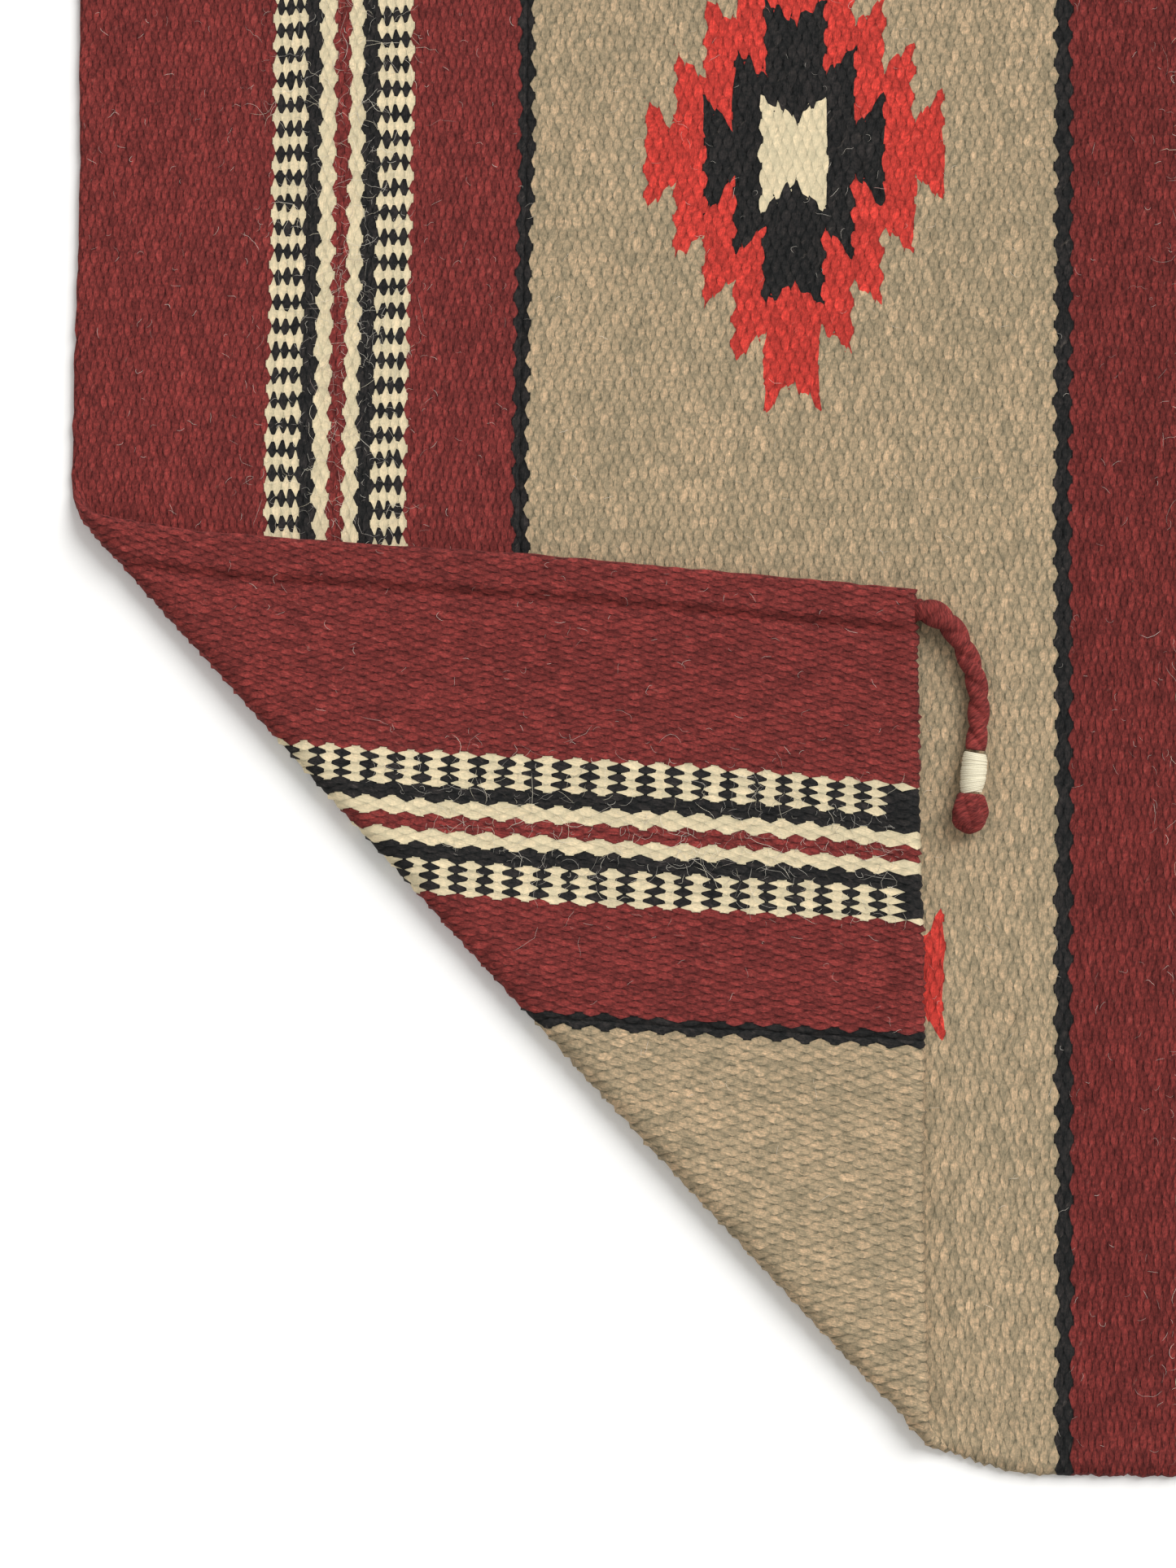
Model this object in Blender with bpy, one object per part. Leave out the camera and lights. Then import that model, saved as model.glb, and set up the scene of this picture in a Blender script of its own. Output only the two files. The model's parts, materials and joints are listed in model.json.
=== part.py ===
# Hand-woven wool table runner, lying flat with its lower left corner folded over its face.
# Metres, +Z up. X runs along the runner, Y across it, and the table is z = 0.
# Every woven colour is its own length of weft yarn, so every band and diamond is its own solid.
import math

import bpy
from mathutils import Vector

# Driving dimensions
LENGTH = 1.8288
HALF_WIDTH = 0.2032
CLOTH = 0.003            # thickness of the woven cloth
HEM_WIDTH = 0.0093       # each end is turned once to the reverse and sewn down
HEM_THICKNESS = 0.0039
GAP = 0.0003             # between neighbouring solids
FLARE_LENGTH = 0.220     # over this length each end is drawn in narrower than the body
FLARE_POWER = 1.3
DRAW_IN = {("left", "lower"): 0.0285, ("left", "upper"): 0.0150,
           ("right", "lower"): 0.0150, ("right", "upper"): 0.0180}

# The fold: a straight crease from the left end to the lower selvedge
CREASE_START_Y = 0.0115
CREASE_ANGLE = math.radians(-47.6)

# Widths of the bands from an end towards the middle; the mirrored end has the same
END_BANDS = [
    ("end_band", 0.0437, "maroon"),
    ("outer_checker", 0.0071, "checker"),
    ("outer_black_stripe", 0.0033, "black"),
    ("outer_cream_stripe", 0.0033, "cream"),
    ("middle_maroon_stripe", 0.0032, "maroon"),
    ("inner_cream_stripe", 0.0030, "cream"),
    ("inner_black_stripe", 0.0035, "black"),
    ("inner_checker", 0.0072, "checker"),
    ("maroon_border", 0.0240, "maroon"),
    ("outer_line", 0.0029, "black"),
    ("panel_ground", 0.1166, "beige"),
    ("inner_line", 0.0034, "black"),
]
FIRST_STRIPE = 1
LAST_STRIPE = 7
PANEL_GROUND = 0.1166
PANEL_LINE = 0.0029

# The serrated diamonds, two across each beige panel
DIAMOND_OFFSET = 0.0927  # from the centre line to each diamond's centre
LOBE_WIDTH = 0.0068
LOBE_STEP = 0.01164      # height lost from one lobe to the next
LOBE_NOTCH = 0.0065      # how far a lobe's edge falls from its tip towards the centre
DIAMOND_RINGS = [        # colour, lobes on each side, half width and notch of the middle lobe
    ("red", 5, 0.0062, 0.0072),
    ("black", 3, 0.0067, 0.0069),
    ("cream", 1, 0.0074, 0.0060),
]
NOTCH_SLOPE_GROWTH = 1.4  # height change that keeps the gap even along a lobe's sloping edge

# The corner tassels: a plied cord, a whipping and a knotted end
CORD_RADIUS = 0.00225
TASSEL_ROUTE = [(0.0006, 0.0), (0.0035, 0.0004), (0.0060, 0.0020), (0.0084, 0.0046), (0.0101, 0.0076),
                (0.0117, 0.0110), (0.0131, 0.0146), (0.0139, 0.0184), (0.0142, 0.0240), (0.0141, 0.0299)]
CORD_POINTS = 24
WHIPPING_RADIUS = 0.0030
WHIPPING_LENGTH = 0.0088
KNOT_WIDTH = 0.0083
KNOT_LENGTH = 0.0090
KNOT_HEIGHT = 0.0066

COLOURS = {  # base colour, roughness
    "maroon": ((0.20, 0.025, 0.025), 0.92),
    "black": ((0.022, 0.024, 0.025), 0.94),
    "cream": ((0.80, 0.70, 0.48), 0.90),
    "beige": ((0.38, 0.30, 0.20), 0.92),
    "red": ((0.55, 0.035, 0.03), 0.92),
    "checker": ((0.42, 0.38, 0.28), 0.92),
    "whipping": ((0.84, 0.77, 0.60), 0.85),
}

LEFT_EDGE = -LENGTH / 2
CREASE_START = Vector((LEFT_EDGE, CREASE_START_Y))
CREASE_DIRECTION = Vector((math.cos(CREASE_ANGLE), math.sin(CREASE_ANGLE)))
CREASE_NORMAL = Vector((-CREASE_DIRECTION.y, CREASE_DIRECTION.x))  # towards the part that stays flat
FLAP_BOTTOM = CLOTH + GAP


def clear_scene():
    for item in list(bpy.data.objects):
        bpy.data.objects.remove(item, do_unlink=True)
    runner = bpy.data.collections.new("table_runner")
    bpy.context.scene.collection.children.link(runner)
    return runner


def make_materials():
    materials = {}
    for name, (colour, roughness) in COLOURS.items():
        material = bpy.data.materials.new(name + "_wool")
        material.use_nodes = True
        shader = material.node_tree.nodes["Principled BSDF"]
        shader.inputs["Base Color"].default_value = (*colour, 1.0)
        shader.inputs["Roughness"].default_value = roughness
        shader.inputs["Metallic"].default_value = 0.0
        materials[name] = material
    return materials


# The cloth's outline

def half_width(x, side):
    """Half width of the cloth at x, on its upper or lower selvedge."""
    end = "left" if x < 0 else "right"
    inward = LENGTH / 2 - abs(x)
    if inward >= FLARE_LENGTH:
        return HALF_WIDTH
    return HALF_WIDTH - DRAW_IN[(end, side)] * (1 - inward / FLARE_LENGTH) ** FLARE_POWER


def strip_outline(x_from, x_to):
    """Outline of a band of cloth, with points enough to follow the drawn-in selvedges."""
    steps = 1
    if x_to - x_from > 0.03:
        steps = 4
    xs = [x_from + (x_to - x_from) * i / steps for i in range(steps + 1)]
    flare_ends = [LENGTH / 2 - FLARE_LENGTH, -LENGTH / 2 + FLARE_LENGTH]
    xs = sorted(xs + [x for x in flare_ends if x_from + GAP < x < x_to - GAP])
    lower = [Vector((x, -half_width(x, "lower"))) for x in xs]
    upper = [Vector((x, half_width(x, "upper"))) for x in reversed(xs)]
    return lower + upper


def side_of_crease(point):
    """Distance from the crease, positive on the part that stays flat."""
    return (point - CREASE_START).dot(CREASE_NORMAL)


def clip_outline(outline, keep_flat):
    """The part of an outline on one side of the crease, half a gap short of it."""
    sign = 1 if keep_flat else -1
    kept = []
    for here, after in zip(outline, outline[1:] + outline[:1]):
        depth_here = sign * side_of_crease(here) - GAP
        depth_after = sign * side_of_crease(after) - GAP
        if depth_here >= 0:
            kept.append(here)
        if (depth_here >= 0) != (depth_after >= 0):
            kept.append(here.lerp(after, depth_here / (depth_here - depth_after)))
    return kept


def fold_over(point):
    """Where a point of the flat cloth lies once the corner is folded over the crease."""
    return point - 2 * side_of_crease(point) * CREASE_NORMAL


def diamond_outline(centre, lobes, middle_half_width, middle_notch, grow):
    """Serrated diamond, larger than nominal by grow on every side."""
    rise = grow * NOTCH_SLOPE_GROWTH
    quarter = [(0.0, lobes * LOBE_STEP - middle_notch + rise)]
    for lobe in range(lobes):
        tip = (lobes - lobe) * LOBE_STEP
        outer = middle_half_width + lobe * LOBE_WIDTH + grow
        if lobe:
            inner = middle_half_width + (lobe - 1) * LOBE_WIDTH + grow
            quarter.append((inner, tip - LOBE_NOTCH + rise))
        quarter.append((outer, tip + rise))
    right = quarter + [(x, -y) for x, y in reversed(quarter)]
    left = [(-x, y) for x, y in reversed(right[1:-1])]
    return [Vector((centre.x + x, centre.y + y)) for x, y in right + left]


# Solids

def add_slab(collection, material, name, outlines, bottom, thickness):
    """Flat solid from closed outlines; an outline inside another is a hole."""
    curve = bpy.data.curves.new(name, "CURVE")
    curve.dimensions = "2D"
    curve.fill_mode = "BOTH"
    curve.extrude = thickness / 2
    for outline in outlines:
        spline = curve.splines.new("POLY")
        spline.points.add(len(outline) - 1)
        for point, place in zip(spline.points, outline):
            point.co = (place.x, place.y, 0.0, 1.0)
        spline.use_cyclic_u = True
    curve.materials.append(material)
    slab = bpy.data.objects.new(name, curve)
    slab.location.z = bottom + thickness / 2
    collection.objects.link(slab)
    return slab


def band_edges():
    """Each band of the flat runner as name, x from, x to and colour."""
    bands = []
    inward = 0.0
    for name, width, colour in END_BANDS:
        start = HEM_WIDTH if inward == 0.0 else inward
        bands.append(("left_" + name, LEFT_EDGE + start, LEFT_EDGE + inward + width, colour))
        inward += width
    design_end = inward
    panel_end = PANEL_GROUND / 2
    line_end = panel_end + PANEL_LINE
    bands.append(("left_striped_field", LEFT_EDGE + design_end, -line_end, "maroon"))
    bands.append(("centre_left_line", -line_end, -panel_end, "black"))
    bands.append(("centre_panel_ground", -panel_end, panel_end, "beige"))
    bands.append(("centre_right_line", panel_end, line_end, "black"))
    bands.append(("right_striped_field", line_end, -LEFT_EDGE - design_end, "maroon"))
    inward = 0.0
    stripes_from = None
    for index, (name, width, colour) in enumerate(END_BANDS):
        start = HEM_WIDTH if index == 0 else inward
        if index == FIRST_STRIPE:
            stripes_from = inward
        if index == LAST_STRIPE:
            name, colour, start = "stripes", "cream", stripes_from
        if not FIRST_STRIPE <= index < LAST_STRIPE:
            bands.append(("right_" + name, -LEFT_EDGE - inward - width, -LEFT_EDGE - start, colour))
        inward += width
    return bands


def panel_centres():
    ground_middle = sum(width for name, width, colour in END_BANDS[:10]) + PANEL_GROUND / 2
    return {"left": LEFT_EDGE + ground_middle, "centre": 0.0, "right": -LEFT_EDGE - ground_middle}


def make_flat_bands(runner, materials):
    centres = panel_centres()
    for name, x_from, x_to, colour in band_edges():
        outline = strip_outline(x_from + GAP / 2, x_to - GAP / 2)
        outlines = [clip_outline(outline, keep_flat=True)]
        panel = name.split("_")[0]
        if name == panel + "_panel_ground":
            for side in (1, -1):
                middle = Vector((centres[panel], side * DIAMOND_OFFSET))
                outlines.append(diamond_outline(middle, *DIAMOND_RINGS[0][1:], GAP / 2))
        add_slab(runner, materials[colour], name, outlines, 0.0, CLOTH)


def make_diamonds(runner, materials):
    """The left panel's diamonds ring by ring; the other panels' diamonds whole."""
    for panel, x in panel_centres().items():
        for place, side in (("upper", 1), ("lower", -1)):
            middle = Vector((x, side * DIAMOND_OFFSET))
            if panel != "left":
                outline = diamond_outline(middle, *DIAMOND_RINGS[0][1:], -GAP / 2)
                add_slab(runner, materials["red"], f"{panel}_{place}_diamond", [outline], 0.0, CLOTH)
                continue
            for index, (colour, *shape) in enumerate(DIAMOND_RINGS):
                outlines = [diamond_outline(middle, *shape, -GAP / 2)]
                if index + 1 < len(DIAMOND_RINGS):
                    outlines.append(diamond_outline(middle, *DIAMOND_RINGS[index + 1][1:], GAP / 2))
                add_slab(runner, materials[colour], f"left_{place}_diamond_{colour}", outlines, 0.0, CLOTH)


def make_folded_bands(runner, materials):
    for name, x_from, x_to, colour in band_edges():
        if not name.startswith("left_") or name in ("left_inner_line", "left_striped_field"):
            continue
        outline = strip_outline(x_from + GAP / 2, x_to - GAP / 2)
        folded = [fold_over(point) for point in clip_outline(outline, keep_flat=False)]
        add_slab(runner, materials[colour], name.replace("left_", "folded_"), [folded], FLAP_BOTTOM, CLOTH)


def make_hems(runner, materials):
    """The turned ends. The left one is in two parts, since the fold runs across it."""
    left = strip_outline(LEFT_EDGE, LEFT_EDGE + HEM_WIDTH - GAP / 2)
    left_upper = [Vector((p.x, max(p.y, CREASE_START_Y + GAP))) for p in left]
    right = strip_outline(-LEFT_EDGE - HEM_WIDTH + GAP / 2, -LEFT_EDGE)
    folded = [fold_over(point) for point in clip_outline(left, keep_flat=False)]
    add_slab(runner, materials["maroon"], "left_hem", [left_upper], 0.0, HEM_THICKNESS)
    add_slab(runner, materials["maroon"], "right_hem", [right], 0.0, HEM_THICKNESS)
    add_slab(runner, materials["maroon"], "folded_hem", [folded], FLAP_BOTTOM, HEM_THICKNESS)


def smooth_route(points, count):
    """Points along a Catmull-Rom curve through the route's own points, evenly spread."""
    ends = [points[0] * 2 - points[1]] + points + [points[-1] * 2 - points[-2]]
    fine = []
    for before, a, b, after in zip(ends, ends[1:], ends[2:], ends[3:]):
        for step in range(10):
            t = step / 10
            fine.append(0.5 * (2 * a + (b - before) * t + (2 * before - 5 * a + 4 * b - after) * t ** 2
                               + (3 * a - before - 3 * b + after) * t ** 3))
    fine.append(points[-1])
    lengths = [0.0]
    for a, b in zip(fine, fine[1:]):
        lengths.append(lengths[-1] + (b - a).length)
    route = []
    index = 0
    for number in range(count):
        wanted = lengths[-1] * number / (count - 1)
        while index < len(fine) - 2 and lengths[index + 1] < wanted:
            index += 1
        share = (wanted - lengths[index]) / (lengths[index + 1] - lengths[index])
        route.append(fine[index].lerp(fine[index + 1], share))
    return route


def add_cord(collection, material, name, route):
    curve = bpy.data.curves.new(name, "CURVE")
    curve.dimensions = "3D"
    curve.bevel_depth = CORD_RADIUS
    curve.bevel_resolution = 2
    curve.use_fill_caps = True
    spline = curve.splines.new("POLY")
    spline.points.add(len(route) - 1)
    for point, place in zip(spline.points, route):
        point.co = (*place, 1.0)
    curve.materials.append(material)
    collection.objects.link(bpy.data.objects.new(name, curve))


def adopt(collection, material, name):
    """Name the primitive just added, give it its material and move it to the runner."""
    piece = bpy.context.active_object
    piece.name = name
    piece.data.name = name
    piece.data.materials.append(material)
    for old in list(piece.users_collection):
        old.objects.unlink(piece)
    collection.objects.link(piece)
    bpy.ops.object.transform_apply(location=False, rotation=False, scale=True)
    piece.data.shade_smooth()
    piece.data.set_sharp_from_angle(angle=math.radians(40))
    return piece


def add_tassel(runner, materials, name, exit_point, outward, onward, lies_on):
    """Cord out of a hem's end along outward, curving to lie along onward, whipped and knotted."""
    def place(along, across, height):
        flat = exit_point + along * outward + across * onward
        return Vector((flat.x, flat.y, lies_on + height))

    cord = [place(along, across, CORD_RADIUS + GAP) for along, across in TASSEL_ROUTE]
    add_cord(runner, materials["maroon"], name + "_cord", smooth_route(cord, CORD_POINTS))
    end_along, end_across = TASSEL_ROUTE[-1]
    turn = math.atan2(onward.y, onward.x)
    whipping_middle = end_across + 2 * GAP + WHIPPING_LENGTH / 2
    bpy.ops.mesh.primitive_cylinder_add(
        vertices=20, radius=WHIPPING_RADIUS, depth=WHIPPING_LENGTH,
        location=place(end_along, whipping_middle, WHIPPING_RADIUS + GAP),
        rotation=(0.0, math.pi / 2, turn))
    adopt(runner, materials["whipping"], name + "_whipping")
    knot_middle = whipping_middle + WHIPPING_LENGTH / 2 + 2 * GAP + KNOT_LENGTH / 2
    bpy.ops.mesh.primitive_uv_sphere_add(
        segments=16, ring_count=10, radius=0.5,
        location=place(end_along, knot_middle, KNOT_HEIGHT / 2 + GAP),
        rotation=(0.0, 0.0, turn), scale=(KNOT_LENGTH, KNOT_WIDTH, KNOT_HEIGHT))
    adopt(runner, materials["maroon"], name + "_knot")


def make_tassels(runner, materials):
    """One at each corner, out of the hem's end and lying back along the selvedge."""
    hem_middle = HEM_WIDTH / 2
    for end, sign in (("left", -1), ("right", 1)):
        x = sign * (LENGTH / 2 - hem_middle)
        for side, up in (("upper", 1), ("lower", -1)):
            corner = Vector((x, up * half_width(x, side)))
            outward = Vector((0.0, up))
            onward = Vector((-sign, 0.0))
            if (end, side) == ("left", "lower"):
                beyond = fold_over(corner + outward)
                ahead = fold_over(corner + onward)
                corner = fold_over(corner)
                add_tassel(runner, materials, "folded_tassel", corner, beyond - corner, ahead - corner,
                           FLAP_BOTTOM - GAP)
            else:
                add_tassel(runner, materials, f"{end}_{side}_tassel", corner, outward, onward, 0.0)


def main():
    runner = clear_scene()
    materials = make_materials()
    make_flat_bands(runner, materials)
    make_diamonds(runner, materials)
    make_folded_bands(runner, materials)
    make_hems(runner, materials)
    make_tassels(runner, materials)


main()
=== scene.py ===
import json
import math

import bpy
import numpy as np
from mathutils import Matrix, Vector


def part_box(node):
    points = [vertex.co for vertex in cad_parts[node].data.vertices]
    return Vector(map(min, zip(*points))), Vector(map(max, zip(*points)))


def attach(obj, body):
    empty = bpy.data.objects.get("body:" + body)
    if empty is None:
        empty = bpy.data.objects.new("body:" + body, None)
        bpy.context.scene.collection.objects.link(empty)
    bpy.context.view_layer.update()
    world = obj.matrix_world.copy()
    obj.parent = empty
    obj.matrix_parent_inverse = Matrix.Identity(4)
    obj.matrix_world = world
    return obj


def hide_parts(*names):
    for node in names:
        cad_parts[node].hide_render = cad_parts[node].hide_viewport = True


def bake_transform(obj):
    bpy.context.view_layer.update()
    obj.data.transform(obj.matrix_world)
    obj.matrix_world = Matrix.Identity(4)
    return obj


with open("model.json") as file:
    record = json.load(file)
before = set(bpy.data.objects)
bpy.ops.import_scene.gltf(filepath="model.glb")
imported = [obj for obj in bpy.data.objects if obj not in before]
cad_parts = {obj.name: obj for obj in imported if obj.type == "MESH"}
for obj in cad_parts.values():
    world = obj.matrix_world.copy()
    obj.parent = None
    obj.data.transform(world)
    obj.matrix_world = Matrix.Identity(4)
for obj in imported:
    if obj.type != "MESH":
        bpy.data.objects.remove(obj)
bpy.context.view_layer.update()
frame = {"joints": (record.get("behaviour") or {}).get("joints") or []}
print("frame loaded")

endLow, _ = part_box("left_hem")
_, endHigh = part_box("right_hem")
_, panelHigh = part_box("centre_panel_ground")
hinge = next(joint for joint in frame["joints"] if joint["name"] == "corner_fold")
creaseAlong = np.array(hinge["axis"][:2])
creaseRun = (hinge["pos_m"][0] - endLow[0]) / creaseAlong[0]
runner = {
    "left": endLow[0],
    "right": endHigh[0],
    "halfWidth": panelHigh[1],
    "clothTop": panelHigh[2],
    "creasePoint": np.array(hinge["pos_m"][:2]) - creaseRun * creaseAlong,  # where the crease meets the left end
    "creaseAlong": creaseAlong,
    "creaseNormal": np.array([-creaseAlong[1], creaseAlong[0]]),
}

# camera and light

view = {
    "fromEnd": 0.1134,  # middle of the view, measured from the left end
    "across": -0.0489,
    "distance": 1.2,
    "lens": 123.6,
    "sun": 2.75,
    "sunSoftness": 40,
    "sunTurn": (-46, 0, -40),
    "sky": 0.64,
    "skyTint": (1, 0.985, 0.96, 1),
}


def makeView():
    camera = bpy.data.objects.new("camera", bpy.data.cameras.new("camera"))
    camera.data.lens = view["lens"]
    camera.data.clip_end = 50
    camera.location = (runner["left"] + view["fromEnd"], view["across"], runner["clothTop"] + view["distance"])
    bpy.context.scene.collection.objects.link(camera)
    bpy.context.scene.camera = camera
    sun = bpy.data.objects.new("sun", bpy.data.lights.new("sun", "SUN"))
    sun.data.energy = view["sun"]
    sun.data.angle = math.radians(view["sunSoftness"])
    sun.rotation_euler = [math.radians(turn) for turn in view["sunTurn"]]
    bpy.context.scene.collection.objects.link(sun)
    world = bpy.data.worlds.new("studio")
    world.use_nodes = True
    background = world.node_tree.nodes["Background"]
    background.inputs["Color"].default_value = view["skyTint"]
    background.inputs["Strength"].default_value = view["sky"]
    bpy.context.scene.world = world
    bpy.context.scene.view_settings.view_transform = "Standard"


# shader nodes

def newGroup(name, inputs, outputs):
    # inputs and outputs give each socket's label and its kind: Float, Vector or Color
    tree = bpy.data.node_groups.new(name, "ShaderNodeTree")
    for way, sockets in (("INPUT", inputs), ("OUTPUT", outputs)):
        for label, kind in sockets.items():
            tree.interface.new_socket(label, in_out=way, socket_type="NodeSocket" + kind)
    return tree, tree.nodes.new("NodeGroupInput").outputs, tree.nodes.new("NodeGroupOutput").inputs


def setSocket(tree, socket, value):
    if isinstance(value, bpy.types.NodeSocket):
        tree.links.new(value, socket)
    elif value is not None:
        socket.default_value = value


def maths(tree, operation, first, second=None, third=None, clamp=False):
    node = tree.nodes.new("ShaderNodeMath")
    node.operation = operation
    node.use_clamp = clamp
    for socket, value in zip(node.inputs, (first, second, third)):
        setSocket(tree, socket, value)
    return node.outputs[0]


def times(tree, first, second, clamp=False):
    return maths(tree, "MULTIPLY", first, second, clamp=clamp)


def plus(tree, first, second):
    return maths(tree, "ADD", first, second)


def minus(tree, first, second, clamp=False):
    return maths(tree, "SUBTRACT", first, second, clamp=clamp)


def timesPlus(tree, first, second, third):
    return maths(tree, "MULTIPLY_ADD", first, second, third)


def isOver(tree, value, limit):
    return maths(tree, "GREATER_THAN", value, limit)


def isUnder(tree, value, limit):
    return maths(tree, "LESS_THAN", value, limit)


def vectorMaths(tree, operation, first, second):
    node = tree.nodes.new("ShaderNodeVectorMath")
    node.operation = operation
    setSocket(tree, node.inputs[0], first)
    setSocket(tree, node.inputs[1], second)
    return node.outputs[0]


def combine(tree, x, y, z=0.0):
    node = tree.nodes.new("ShaderNodeCombineXYZ")
    for socket, value in zip(node.inputs, (x, y, z)):
        setSocket(tree, socket, value)
    return node.outputs[0]


def separate(tree, vector):
    node = tree.nodes.new("ShaderNodeSeparateXYZ")
    setSocket(tree, node.inputs[0], vector)
    return node.outputs


def easedRange(tree, value, fromMin, fromMax, toMin, toMax):
    node = tree.nodes.new("ShaderNodeMapRange")
    node.interpolation_type = "SMOOTHSTEP"
    for label, given in (("Value", value), ("From Min", fromMin), ("From Max", fromMax), ("To Min", toMin),
                         ("To Max", toMax)):
        setSocket(tree, node.inputs[label], given)
    return node.outputs["Result"]


def uvMap(tree, name):
    node = tree.nodes.new("ShaderNodeUVMap")
    node.uv_map = name
    return node.outputs["UV"]


def grain(tree, vector, scale, detail=2.0, roughness=0.5):
    node = tree.nodes.new("ShaderNodeTexNoise")
    setSocket(tree, node.inputs["Vector"], vector)
    node.inputs["Scale"].default_value = scale
    node.inputs["Detail"].default_value = detail
    node.inputs["Roughness"].default_value = roughness
    return node.outputs


def blendColour(tree, share, first, second, mode="MIX"):
    node = tree.nodes.new("ShaderNodeMix")
    node.data_type = "RGBA"
    node.blend_type = mode
    setSocket(tree, node.inputs["Factor"], share)
    setSocket(tree, node.inputs["A"], first)
    setSocket(tree, node.inputs["B"], second)
    return node.outputs["Result"]


def shadeColour(tree, colour, light):
    # The colour made lighter or darker by a value
    return blendColour(tree, 1.0, colour, combine(tree, light, light, light), "MULTIPLY")


def useGroup(tree, group, **values):
    node = tree.nodes.new("ShaderNodeGroup")
    node.node_tree = group
    for label, value in values.items():
        setSocket(tree, node.inputs[label], value)
    return node.outputs


# the weave: one crown of weft wherever pick + warp is even

lattice = {"crownWander": (0.36, 0.40), "wanderScale": 0.75, "crownHalf": (1.10, 0.90)}


def makeLatticeGroup():
    tree, given, put = newGroup(
        "weaveLattice", {"Weave": "Vector"},
        {"Pick": "Float", "Warp": "Float", "Crown": "Float", "Along": "Float", "Across": "Float",
         "Chance": "Float", "Weave": "Vector"})
    wander = vectorMaths(tree, "SUBTRACT", grain(tree, given["Weave"], lattice["wanderScale"])["Color"], (0.5,) * 3)
    wander = vectorMaths(tree, "MULTIPLY", wander, (*lattice["crownWander"], 0.0))
    p, w, _ = separate(tree, vectorMaths(tree, "ADD", given["Weave"], wander))
    a = times(tree, plus(tree, p, w), 0.5)
    b = times(tree, minus(tree, p, w), 0.5)
    roundA = maths(tree, "ROUND", a)
    roundB = maths(tree, "ROUND", b)
    pick = plus(tree, roundA, roundB)
    warp = minus(tree, roundA, roundB)
    along = minus(tree, w, warp)
    across = minus(tree, p, pick)
    reachAcross = maths(tree, "DIVIDE", across, lattice["crownHalf"][0])
    reachAlong = maths(tree, "DIVIDE", along, lattice["crownHalf"][1])
    crown = timesPlus(tree, reachAlong, reachAlong, times(tree, reachAcross, reachAcross))
    chance = tree.nodes.new("ShaderNodeTexWhiteNoise")
    chance.noise_dimensions = "2D"
    setSocket(tree, chance.inputs["Vector"], combine(tree, roundA, roundB))
    for label, value in (("Pick", pick), ("Warp", warp), ("Crown", minus(tree, 1.0, crown)),
                         ("Along", along), ("Across", across), ("Chance", chance.outputs["Value"]),
                         ("Weave", combine(tree, p, w))):
        setSocket(tree, put[label], value)
    return tree


# One serrated diamond: lobes of equal width, each with its tip on the outer side
diamond = {"lobePicks": 6.18, "stepWarps": 4.0, "notchWarps": 2.45, "tipWarps": 0.4}


def makeDiamondGroup():
    tree, given, put = newGroup(
        "serratedDiamond",
        {"Picks": "Float", "Warps": "Float", "Lobes": "Float", "Middle": "Float", "Notch": "Float"},
        {"Inside": "Float"})
    past = maths(tree, "DIVIDE", minus(tree, given["Picks"], given["Middle"]), diamond["lobePicks"])
    past = maths(tree, "MAXIMUM", past, 0.0)
    lobe = maths(tree, "CEIL", past)
    outward = plus(tree, minus(tree, past, lobe), 1.0)
    sideFall = times(tree, minus(tree, 1.0, outward), diamond["notchWarps"])
    middleShare = minus(tree, 1.0, maths(tree, "DIVIDE", given["Picks"], given["Middle"]))
    middleFall = times(tree, middleShare, given["Notch"])
    inMiddle = isUnder(tree, given["Picks"], given["Middle"])
    sidePart = times(tree, sideFall, minus(tree, 1.0, inMiddle))
    fall = timesPlus(tree, middleFall, inMiddle, sidePart)
    levels = minus(tree, given["Lobes"], lobe)
    limit = timesPlus(tree, levels, diamond["stepWarps"], diamond["tipWarps"])
    limit = minus(tree, limit, fall)
    below = isUnder(tree, given["Warps"], limit)
    setSocket(tree, put["Inside"], times(tree, below, isOver(tree, levels, 0.5)))
    return tree


# The weft plan: picks and width of each band from an end to the middle of the centre panel
stripeGroup = [(7, 0.0071), (4, 0.0033), (3, 0.0033), (4, 0.0032), (3, 0.0030), (4, 0.0035), (7, 0.0072)]
plan = {
    "bands": ([(53, 0.0437)] + stripeGroup + [(29, 0.0240), (3, 0.0029), (106, 0.1166), (3, 0.0034), (29, 0.0240)]
              + stripeGroup + [(298, 0.2461)] + stripeGroup + [(298, 0.2461)] + stripeGroup
              + [(29, 0.0240), (3, 0.0029), (53, 0.0583)]),
    "stripeCentres": (68.5, 270.5, 600.5, 930.5),
    "panelCentres": (169.5, 1031.5),
    "middle": 1031.5,
    "warps": 132,
    "diamondsAcross": (0.0945, -0.0952),  # centres of the two diamonds, where the cloth is full width
}
yarns = {
    "Maroon": (0.141, 0.0268, 0.0252, 1),
    "Field": (0.120, 0.0225, 0.0210, 1),  # darker maroon, past the inner line of each end panel
    "Black": (0.0155, 0.0162, 0.0165, 1),
    "Cream": (0.64, 0.570, 0.385, 1),
    "Beige": (0.312, 0.256, 0.166, 1),
    "Red": (0.435, 0.042, 0.033, 1),
}


def nearest(tree, value, centres):
    distance = None
    for centre in centres:
        away = maths(tree, "ABSOLUTE", minus(tree, value, float(centre)))
        distance = away if distance is None else maths(tree, "MINIMUM", distance, away)
    return distance


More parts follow.
